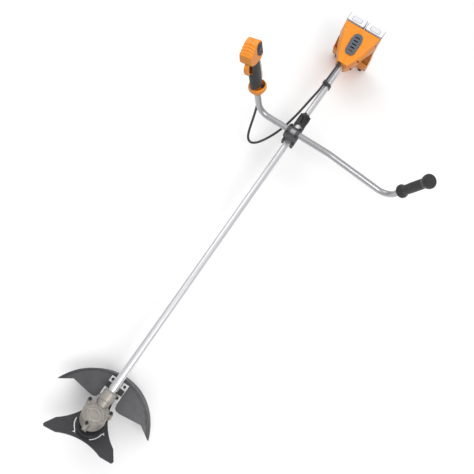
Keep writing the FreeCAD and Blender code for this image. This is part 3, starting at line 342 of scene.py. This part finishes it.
def die_cast(name, colour):
    """Shot-blasted die casting with painted shade, near black, in its corners, and brighter on its
    worn edges.
    """
    n = Nodes(name, 0.5, 0.55)
    patch = n.noise(45, 6, rough=0.65)
    tint = n.ramp(patch, [(0.25, darker(colour, 0.72)), (0.5, colour), (0.8, darker(colour, 1.15))])
    # Painted shade: near black in corners and recesses.
    tint = n.mix(n.maths("MULTIPLY", n.hollows(0.007), 0.85), tint, darker(colour, 0.18))
    worn = n.maths("MULTIPLY", n.edges(0.001), n.grey(n.noise(500, 4), 0.1, 0.8, 0.4, 0.65))
    tint = n.mix(worn, tint, n.mix(0.45, colour, WHITE))
    rough = n.grey(n.noise(200, 5), 0.38, 0.62)
    n.bump([(n.noise(700, 4, rough=0.7), 0.00012), (n.noise(120, 3), 0.0002)], 0.0008)
    return n.finish(tint, rough)


def steel(name, colour, roughness=0.3, streaks=None, oily=0.0):
    """Machined or plated steel with fine tool marks."""
    n = Nodes(name, roughness, 1.0)
    marks = n.noise(600 if streaks is None else 1.0, 4, stretch=streaks)
    tint = n.ramp(marks, [(0.35, darker(colour, 0.85)), (0.65, colour)])
    film = n.noise(35, 4)
    tint = n.mix(n.grey(film, 0.0, 0.25 + oily, 0.45, 0.75), tint, darker(colour, 0.6))
    rough = n.grey(n.noise(250, 4), roughness - 0.07, roughness + 0.1)
    n.bump([(marks, 0.00001)], 0.0003)
    return n.finish(tint, rough)


def painted_steel(name, colour, roughness=0.4, worn=0.5, bare=(0.55, 0.55, 0.56, 1)):
    """Powder-coated steel: faint orange peel, coat rubbed to metal on the edges."""
    n = Nodes(name, roughness, 0.0, IOR=1.5)
    tint = n.ramp(n.noise(25, 5), [(0.3, darker(colour, 0.88)), (0.7, darker(colour, 1.08))])
    patches = n.grey(n.noise(450, 5, rough=0.7), 0.0, worn, 0.5, 0.62)
    chips = n.maths("MULTIPLY", n.edges(0.0008), patches)
    tint = n.mix(chips, tint, bare)
    rough = n.grey(n.noise(90, 4), roughness - 0.05, roughness + 0.1)
    n.bump([(n.noise(900, 2), 0.00003), (n.noise(220, 2), 0.00004)], 0.0005)
    return n.finish(tint, rough)


def battery_plastic(name, colour, line):
    """White moulding with painted shade: a soft grey line on its rounded and sharp edges, darker in
    its corners.
    """
    n = Nodes(name, 0.38, IOR=1.5)
    tint = n.ramp(n.noise(20, 4), [(0.3, darker(colour, 0.96)), (0.7, colour)])
    # Painted shade: grey on rounded and sharp edges, by how far the surface turns from the object's
    # axes.
    sizes = [n.maths("ABSOLUTE", share) for share in n.facing()]
    largest = n.maths("MAXIMUM", n.maths("MAXIMUM", sizes[0], sizes[1]), sizes[2])
    rounded = n.grey(largest, 1.0, 0.0, 0.80, 0.985)
    sharp = n.edges(0.0016, 0.86, 0.985)
    tint = n.mix(n.maths("MULTIPLY", n.maths("MAXIMUM", rounded, sharp), 0.95), tint, line)
    # Painted shade: darker grey in corners and recesses.
    tint = n.mix(n.maths("MULTIPLY", n.hollows(0.006), 0.9), tint, darker(line, 0.35))
    rough = n.grey(n.noise(80, 4), 0.34, 0.48)
    n.bump([(n.noise(1300, 2), 0.00003), (n.noise(70, 2), 0.00004)], 0.0006)
    return n.finish(tint, rough)


def guard_moulding(name, colour):
    """Coarse black moulding with painted shade on its steep walls and along its edges."""
    n = Nodes(name, 0.5, IOR=1.5)
    # Painted shade: walls that face sideways are darkened.
    painted_side_shade = n.grey(n.maths("ABSOLUTE", n.facing()[2]), 1.0, 0.0, 0.55, 0.85)
    tint = n.ramp(n.noise(24, 5), [(0.3, darker(colour, 0.86)), (0.7, darker(colour, 1.1))])
    tint = n.mix(painted_side_shade, tint, darker(colour, 0.3))
    scuffs = n.grey(n.noise(1.0, 5, stretch=(160, 400, 160), rough=0.6), 0.0, 0.10, 0.5, 0.75)
    tint = n.mix(scuffs, tint, n.mix(0.2, colour, WHITE))
    # Painted shade: darker along the edges of the rim.
    tint = n.mix(n.maths("MULTIPLY", n.edges(0.0022, 0.86, 0.99), 0.8), tint, darker(colour, 0.2))
    rough = n.grey(n.noise(90, 4), 0.42, 0.6)
    n.bump([(n.noise(900, 3), 0.00007), (n.noise(90, 3), 0.00006)], 0.0006)
    return n.finish(tint, rough)


def ground_blade(name, colour, bright):
    """Black-coated blade whose edges are ground bright, with fine scratches across the coat."""
    n = Nodes(name, 0.4, 0.3)
    tint = n.ramp(n.noise(16, 5), [(0.3, darker(colour, 0.85)), (0.7, darker(colour, 1.1))])
    scratch = n.grey(n.noise(1.0, 6, stretch=(120, 500, 120), rough=0.7), 0.0, 0.16, 0.5, 0.75)
    tint = n.mix(scratch, tint, n.mix(0.4, colour, bright))
    edge = n.maths("MULTIPLY", n.edges(0.0016, 0.80, 0.99), n.grey(n.noise(120, 3), 0.55, 1.0))
    tint = n.mix(edge, tint, bright)
    rough = n.grey(n.noise(150, 4), 0.3, 0.5)
    n.bump([(scratch, 0.00001), (n.noise(500, 2), 0.00003)], 0.0004)
    return n.finish(tint, rough)


looks = {
    "cast_alloy": die_cast("cast_alloy", srgb(160, 154, 148)),
    "fastener_steel": painted_steel("black_oxide", srgb(34, 34, 36), 0.35, 0.4),
    "bearing_steel": steel("bearing_steel", srgb(205, 207, 210), 0.18),
    "gear_steel": steel("gear_steel", srgb(165, 166, 168), 0.3, oily=0.4),
    "flange_steel": steel("zinc_plate", srgb(190, 192, 196), 0.3),
    "blade_paint": ground_blade("blade_coat", srgb(62, 62, 65), srgb(176, 176, 180)),
    "guard_plastic": guard_moulding("guard_moulding", srgb(72, 72, 75)),
    "black_plastic": plastic("black_plastic", srgb(34, 34, 37), 0.4),
    "bracket_plate": steel("zinc_sheet", srgb(222, 222, 222), 0.36),
    "tube_aluminium": drawn_aluminium("tube_aluminium", srgb(218, 218, 221)),
    "handlebar_grey": drawn_aluminium("handlebar_grey", srgb(176, 176, 179), (300, 300, 300)),
    "bush_plastic": plastic("bush_nylon", srgb(190, 178, 150), 0.45),
    "clamp_plastic": painted_steel("clamp_paint", srgb(72, 72, 74), 0.45, 0.5),
    "hanger_black": painted_steel("hanger_coat", srgb(36, 36, 38), 0.38, 0.35),
    "grip_rubber_black": rubber("grip_rubber_black", srgb(40, 38, 39)),
    "cable_black": rubber("cable_jacket", srgb(50, 50, 52), 0.5, grain=0.00002, grain_scale=1600),
    # The orange moulding's sideways faces get painted shade.
    "orange_plastic": plastic("orange_plastic", srgb(246, 146, 4), 0.36, grain=0.00002, worn=0.15,
                              coat=0.15, painted_side_shade=0.62),
    "dark_plastic": plastic("dark_plastic", srgb(46, 38, 48), 0.45),
    "lever_plastic": plastic("lever_plastic", srgb(206, 198, 190), 0.4),
    "button_plastic": plastic("button_plastic", srgb(66, 64, 72), 0.35),
    # The vent insert gets stronger painted shade in its corners.
    "vent_plastic": plastic("vent_plastic", srgb(84, 98, 112), 0.4, painted_corner_shade=0.2),
    "motor_iron": steel("motor_iron", srgb(110, 110, 114), 0.4),
    "circuit_board": plastic("circuit_board", srgb(24, 96, 52), 0.3),
    "battery_shell": battery_plastic("battery_shell_edge_shade", srgb(243, 243, 246), srgb(92, 92, 100)),
    "battery_latch_grey": battery_plastic("battery_latch_edge_shade", srgb(228, 228, 233),
                                          srgb(110, 110, 120)),
    "foot_rubber": rubber("foot_rubber", srgb(40, 40, 42)),
}


def dress(piece, slot):
    piece.data.materials.clear()
    piece.data.materials.append(looks[slot])


slots = {part["node"]: part["material_slot"] for part in frame["record"]["subparts"]}
for node, slot in slots.items():
    dress(nodes[node], slot)
dress(cable, "cable_black")
# The bar is duller than the shaft, and its caps are as dark as the clamp under them.
dress(nodes["handlebar"], "handlebar_grey")
dress(nodes["bar_caps"], "clamp_plastic")


# ---------------------------------------------------------------- finer pieces

PAD_RADIUS = 8 * MM
PAD_DEPTH = 2 * MM


def thicken(mesh, centre, normal):
    """Adds a round pad behind a thin spot of the wall."""
    shape = bmesh.new()
    shape.from_mesh(mesh)
    turn = normal.to_track_quat("Z", "Y").to_matrix().to_4x4()
    bmesh.ops.create_cone(shape, cap_ends=True, segments=32, radius1=PAD_RADIUS,
                          radius2=PAD_RADIUS, depth=PAD_DEPTH,
                          matrix=Matrix.Translation(centre) @ turn)
    shape.to_mesh(mesh)
    shape.free()


def refined(node, voxel, rounds, relief, pads=()):
    """A finer copy of a CAD piece with softened edges.

    relief(point, normal) gives the height of the surface over the CAD shape, in metres. pads are
    (centre, normal) of spots to thicken first.
    """
    source = nodes[node]
    piece = bpy.data.objects.new(node + "_fine", source.data.copy())
    piece.matrix_world = source.matrix_world
    scene.collection.objects.link(piece)
    for centre, normal in pads:
        thicken(piece.data, piece.matrix_world.inverted() @ centre, normal)
    even = piece.modifiers.new("even", "REMESH")
    even.mode = "VOXEL"
    even.voxel_size = voxel
    soft = piece.modifiers.new("soft", "SMOOTH")
    soft.iterations = rounds
    soft.factor = 0.5
    mesh = bpy.data.meshes.new_from_object(
        piece.evaluated_get(bpy.context.evaluated_depsgraph_get()))
    piece.modifiers.clear()
    piece.data = mesh
    turn = piece.matrix_world.to_3x3()
    back = turn.inverted()
    normals = [vertex.normal.copy() for vertex in mesh.vertices]
    for vertex, normal in zip(mesh.vertices, normals):
        world_normal = (turn @ normal).normalized()
        height = relief(piece.matrix_world @ vertex.co, world_normal)
        vertex.co += back @ (world_normal * height)
    for face in mesh.polygons:
        face.use_smooth = True
    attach(piece, body_of(node))
    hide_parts(node)
    dress(piece, slots[node])


def body_of(node):
    for body, members in frame["record"]["behaviour"]["bodies"].items():
        if node in members:
            return body
    return "frame"


def ridge(offset, half):
    """1 on the crest of a rounded ridge and 0 from half its width outwards."""
    share = min(abs(offset) / half, 1.0)
    return (1 - share * share) ** 2


def grain(point, size, height):
    """Soft unevenness, its bumps about as wide as size."""
    return height * noise.noise(point / size)


GRIP_BASE = from_shaft(1127, 165, 122)
GRIP_TURN = Matrix.Rotation(math.radians(-17), 3, "X") @ Matrix.Rotation(math.pi, 3, "Z")
GRIP_BACK = GRIP_TURN.transposed()
# Millimetres in the grip's own frame: forward, inwards and up the grip.
SLOPE_TOP = Vector((-2, 0, 214))
SLOPE_ALONG = Vector((41, 0, -22)).normalized()
SLOPE_UP = Vector((22, 0, 41)).normalized()
HEAD_LOW = 165
RIB_PLACES = (5, 15, 25, 35)     # down the slope
RIB_HALF = 3.2
RIB_HEIGHT = 1.6 * MM
RIB_SAG = 0.012


def grip_relief(point, normal):
    """Four curved ribs over the front of the grip's head."""
    place = GRIP_BACK @ (point - GRIP_BASE) / MM
    facing = (GRIP_BACK @ normal).dot(SLOPE_UP)
    height = grain(point, 0.006, 0.00008)
    if facing > 0.25 and place.z > HEAD_LOW:
        along = (place - SLOPE_TOP).dot(SLOPE_ALONG) - RIB_SAG * place.y * place.y
        rib = max(ridge(along - start, RIB_HALF) for start in RIB_PLACES)
        height += RIB_HEIGHT * rib * min((facing - 0.25) * 2.5, 1.0)
    return height


CAST_RINGS = (17, 25, 33)     # radii in millimetres
CAST_RING_HALF = 1.8
CAST_RING_HEIGHT = 0.9 * MM


def cast_relief(point, normal):
    """Rough casting with raised rings round the spindle on its upper faces."""
    place = (point - SHAFT_ORIGIN) / MM
    height = grain(point, 0.0022, 0.00016) + grain(point, 0.009, 0.00025)
    radius = math.hypot(place.x, place.y)
    if normal.z > 0.5:
        rings = [ridge(radius - ring, CAST_RING_HALF) for ring in CAST_RINGS]
        height += CAST_RING_HEIGHT * max(rings)
    return height


RUBBER_GIRTH = 17          # millimetres for each radian round the handle
DIAMOND_PITCH = 1.25       # radians for each millimetre
DIAMOND_HEIGHT = 0.22 * MM


def rubber_relief(point, normal):
    """Fine raised diamonds over the rubber."""
    place = GRIP_BACK @ (point - GRIP_BASE) / MM
    around = math.atan2(place.y, place.x) * RUBBER_GIRTH
    first = math.sin((place.z + around) * DIAMOND_PITCH)
    second = math.sin((place.z - around) * DIAMOND_PITCH)
    return DIAMOND_HEIGHT * max(first * second, 0) - 0.1 * MM


def moulded_relief(point, normal):
    """The faint unevenness of a moulding."""
    return grain(point, 0.012, 0.00012)


ROOF_CENTRE = from_shaft(1590, 0, 63.2)
ROOF_ALONG = Vector((95, 0, 51)).normalized()
ROOF_UP = Vector((-51, 0, 95)).normalized()
ROOF_EDGE = ((1545, 37), (1575, 50), (1612, 64), (1640, 74))     # x and half width, millimetres
ROOF_LINE_INSET = 6
ROOF_LINE_HALF = 2.4
ROOF_LINE_HEIGHT = 1.3 * MM
SLOT_LINES = (-5.2, -14.8)     # above and below the slot
SLOT_LINE_HALF = 2.0
SLOT_LINE_HEIGHT = 2.2 * MM
SLOT_LINE_ENDS = (-44, 0)


def roof_half(x):
    """Half the roof's width at x millimetres from the shaft's origin, 0 off its slope."""
    for (low, low_half), (high, high_half) in zip(ROOF_EDGE, ROOF_EDGE[1:]):
        if low <= x <= high:
            return low_half + (high_half - low_half) * (x - low) / (high - low)
    return 0.0


def housing_relief(point, normal):
    """A raised line inside the roof's edge and one on each side of the slot below it."""
    height = moulded_relief(point, normal)
    along = (point - ROOF_CENTRE).dot(ROOF_ALONG) / MM
    up = (point - ROOF_CENTRE).dot(ROOF_UP) / MM
    across = abs(point.y) / MM
    if normal.dot(ROOF_UP) > 0.8 and up > -1.5:
        half = roof_half((point.x - SHAFT_ORIGIN.x) / MM)
        if half:
            height += ROOF_LINE_HEIGHT * ridge(half - across - ROOF_LINE_INSET, ROOF_LINE_HALF)
    elif abs(normal.y) > 0.4 and across > 30 and SLOT_LINE_ENDS[0] < along < SLOT_LINE_ENDS[1]:
        height += SLOT_LINE_HEIGHT * sum(ridge(up - line, SLOT_LINE_HALF) for line in SLOT_LINES)
    return height


INSERT_LINE = 14.5           # millimetres out from the middle
INSERT_LINE_REACH = 34


def insert_relief(point, normal):
    """A groove down the insert's middle and a raised line along each side."""
    along = (point - ROOF_CENTRE).dot(ROOF_ALONG) / MM
    across = abs(point.y) / MM
    height = grain(point, 0.003, 0.00008)
    if normal.dot(ROOF_UP) > 0.7:
        if abs(along) < INSERT_LINE_REACH:
            height += 1.2 * MM * ridge(across - INSERT_LINE, 2.5)
        height -= 0.8 * MM * ridge(across, 1.4)
    return height


DIMPLE_ALONG = 36 * MM
DIMPLE_ACROSS = 60 * MM
DIMPLE_BACK = 3.3 * MM       # how far under the roof the pad's middle lies


def refine_pieces():
    for shell in ("grip_shell_inner", "grip_shell_outer"):
        refined(shell, 1.0 * MM, 2, grip_relief)
    refined("left_grip", 0.9 * MM, 1, moulded_relief)
    refined("grip_rubber", 0.9 * MM, 1, rubber_relief)
    refined("grip_collar", 0.9 * MM, 3, moulded_relief)
    refined("throttle_trigger", 0.7 * MM, 3, moulded_relief)
    refined("vent_insert", 0.5 * MM, 1, insert_relief)
    for half, side in (("housing_left", 1), ("housing_right", -1)):
        across = Vector((0, side * DIMPLE_ACROSS, 0))
        dimple = ROOF_CENTRE + across + ROOF_ALONG * DIMPLE_ALONG - ROOF_UP * DIMPLE_BACK
        refined(half, 1.25 * MM, 2, housing_relief, [(dimple, ROOF_UP)])
    refined("gear_case", 0.9 * MM, 2, cast_relief)
    refined("gear_case_cover", 0.8 * MM, 2, cast_relief)


refine_pieces()


# ---------------------------------------------------------------- stage

def make_floor():
    mesh = bpy.data.meshes.new("floor")
    shape = bmesh.new()
    bmesh.ops.create_grid(shape, x_segments=4, y_segments=4, size=12)
    shape.to_mesh(mesh)
    shape.free()
    floor = bpy.data.objects.new("floor", mesh)
    floor.location = (-0.3, 0, GROUND_Z - 0.2 * MM)
    scene.collection.objects.link(floor)
    n = Nodes("floor", 0.8)
    tint = n.ramp(n.noise(1.5, 2), [(0.3, (0.92, 0.92, 0.92, 1)), (0.7, (0.95, 0.95, 0.95, 1))])
    n.finish(tint)
    mesh.materials.append(n.material)


def add_light(name, place, aim, size, power):
    data = bpy.data.lights.new(name, "AREA")
    data.shape = "RECTANGLE"
    data.size, data.size_y = size
    data.energy = power
    light = bpy.data.objects.new(name, data)
    light.location = place
    light.rotation_mode = "QUATERNION"
    light.rotation_quaternion = (Vector(aim) - Vector(place)).to_track_quat("-Z", "Y")
    scene.collection.objects.link(light)


def make_world():
    world = bpy.data.worlds.new("studio")
    scene.world = world
    world.use_nodes = True
    tree = world.node_tree
    background = tree.nodes["Background"]
    place = tree.nodes.new("ShaderNodeTexCoord").outputs["Generated"]
    split = tree.nodes.new("ShaderNodeSeparateXYZ")
    tree.links.new(place, split.inputs[0])
    ramp = tree.nodes.new("ShaderNodeValToRGB")
    ramp.color_ramp.elements[0].position = 0.0
    ramp.color_ramp.elements[0].color = (0.30, 0.30, 0.31, 1)
    ramp.color_ramp.elements[1].position = 0.75
    ramp.color_ramp.elements[1].color = (1, 1, 1, 1)
    tree.links.new(split.outputs[2], ramp.inputs[0])
    tree.links.new(ramp.outputs[0], background.inputs[0])
    background.inputs[1].default_value = 0.95


make_floor()
make_world()
add_light("key", (-1.6, -1.6, 2.6), (-0.6, 0, 0), (1.6, 1.6), 40)
add_light("fill", (0.9, 1.8, 2.2), (-0.3, 0, 0), (2.0, 2.0), 18)
